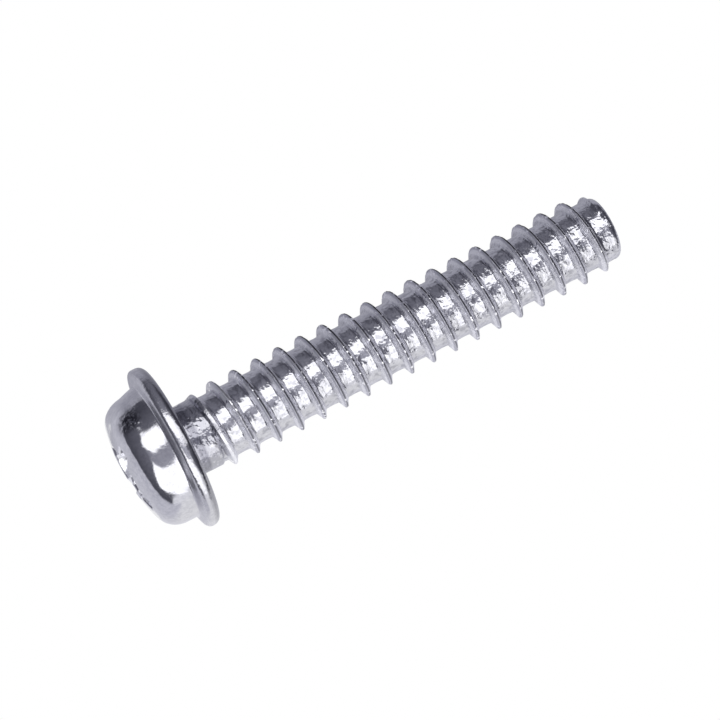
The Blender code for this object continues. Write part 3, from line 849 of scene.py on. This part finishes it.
def soft_box(name, corners, head_glow, tip_glow):
    """A sheet of glowing cloth, whose own axes are the screw's, in heights over it."""
    cloth = glowing(name, colour("FFFFFF"), head_glow)
    cloth_tree = cloth.node_tree
    place = add_node(cloth_tree, "ShaderNodeTexCoord", {}).node.outputs["Object"]
    parts = add_node(cloth_tree, "ShaderNodeSeparateXYZ", {0: place}).node.outputs
    reach = add_node(cloth_tree, math, {0: parts["Y"], 1: parts["Y"], 2: 1.0},
                     operation="MULTIPLY_ADD")
    reach = add_node(cloth_tree, math, {0: reach}, operation="SQRT")
    lean = add_node(cloth_tree, math, {0: parts["X"], 1: reach}, operation="DIVIDE")
    glow = add_node(cloth_tree, "ShaderNodeMapRange", {
        "Value": lean, "From Min": GLOW_LEAN[0], "From Max": GLOW_LEAN[1],
        "To Min": head_glow, "To Max": tip_glow})
    cloth_tree.links.new(glow, cloth_tree.nodes["Emission"].inputs["Strength"])
    sheet = bpy.data.meshes.new(name)
    sheet.from_pydata([(x, y, 0.0) for x, y in corners], [], [tuple(range(len(corners)))])
    sheet.materials.append(cloth)
    box = bpy.data.objects.new(name, sheet)
    bpy.context.scene.collection.objects.link(box)
    hung = (Matrix((axis, sideways, near)).transposed() * SOFT_BOX_HEIGHT).to_4x4()
    hung.translation = middle + SOFT_BOX_HEIGHT * near
    box.matrix_world = hung
    box.visible_camera = False


for name, corners in soft_boxes.items():
    soft_box(name, corners, *glows[name])

room = bpy.data.worlds.new("dim_room")
bpy.context.scene.world = room
room.use_nodes = True
room_tree = room.node_tree
room_tree.nodes.clear()
way = add_node(room_tree, "ShaderNodeTexCoord", {}).node.outputs["Generated"]
heading = add_node(room_tree, "ShaderNodeSeparateXYZ", {0: way}).node.outputs
room_shades = {               # from the floor up to overhead
    "head": ((0.10, "55555E"), (0.85, "74747E"), (0.97, "A6A6B0")),
    "tip": ((0.10, "7A7A84"), (0.85, "90909A"), (0.97, "C8C8D2")),
}
walls = {}
for side, shades in room_shades.items():
    ramp = room_tree.nodes.new("ShaderNodeValToRGB")
    room_tree.links.new(heading["Z"], ramp.inputs[0])
    ramp.color_ramp.elements.new(0.5)
    for stop, (where, code) in zip(ramp.color_ramp.elements, shades):
        stop.position = where
        stop.color = colour(code)
    walls[side] = ramp.outputs[0]
to_tip = add_node(room_tree, "ShaderNodeMapRange", {"Value": heading["X"],
                  "From Min": TO_TIP[0], "From Max": TO_TIP[1]})
past_tip = add_node(room_tree, "ShaderNodeMapRange", {
    "Value": heading["X"], "From Min": PAST_TIP[0], "From Max": PAST_TIP[1],
    "To Min": 1.0, "To Max": 0.0})
to_tip = add_node(room_tree, math, {0: to_tip, 1: past_tip}, operation="MULTIPLY")
dim = add_node(room_tree, "ShaderNodeMix", {0: to_tip, 6: walls["head"], 7: walls["tip"]},
               output=2, data_type="RGBA")
near_wall = add_node(room_tree, "ShaderNodeVectorMath", {0: way, 1: (0.0, -1.0, 0.0)},
                     output="Value", operation="DOT_PRODUCT")
near_wall = add_node(room_tree, "ShaderNodeMapRange", {"Value": near_wall,
                     "From Min": NEAR_WALL[0], "From Max": NEAR_WALL[1]})
walled = add_node(room_tree, "ShaderNodeMix", {0: near_wall, 6: dim, 7: colour("FCFCFF")},
                  output=2, data_type="RGBA")
seen = add_node(room_tree, "ShaderNodeLightPath", {}).node.outputs["Is Camera Ray"]
shown = add_node(room_tree, "ShaderNodeMix", {0: seen, 6: walled, 7: colour("F2F2F2")},
                 output=2, data_type="RGBA")
glow = add_node(room_tree, "ShaderNodeBackground", {"Color": shown})
surface = room_tree.nodes.new("ShaderNodeOutputWorld")
room_tree.links.new(glow, surface.inputs["Surface"])


# Camera
# Above the head's side of the screw, turned so that the end points up and to the right.

CAMERA_DISTANCE = 265.0 * MM
SENSOR_WIDTH = 36.0           # mm, as is the lens
LENS = 183.976
TILT_TO_HEAD = radians(10.0)
ROLL = 0.4743                 # radians
CLIP_START = 10.0 * MM
AIM_ALONG = 17.83 * MM        # this point of the axis stands at pixel (400, 331.1)
AIM_RIGHT = 2.9104 * MM
AIM_UP = 2.0234 * MM

right = axis * cos(TILT_TO_HEAD) + near * sin(TILT_TO_HEAD)
back = near * cos(TILT_TO_HEAD) - axis * sin(TILT_TO_HEAD)
rolled_right = right * cos(ROLL) - sideways * sin(ROLL)
rolled_up = right * sin(ROLL) + sideways * cos(ROLL)
camera_data = bpy.data.cameras.new("camera")
camera_data.sensor_width = SENSOR_WIDTH
camera_data.lens = LENS
camera_data.clip_start = CLIP_START
camera = bpy.data.objects.new("camera", camera_data)
bpy.context.scene.collection.objects.link(camera)
view = Matrix((rolled_right, rolled_up, back)).transposed().to_4x4()
view.translation = (bearing_centre + axis * AIM_ALONG - rolled_right * AIM_RIGHT
                    - rolled_up * AIM_UP + back * CAMERA_DISTANCE)
camera.matrix_world = view
bpy.context.scene.camera = camera
bpy.context.scene.view_settings.view_transform = "Standard"
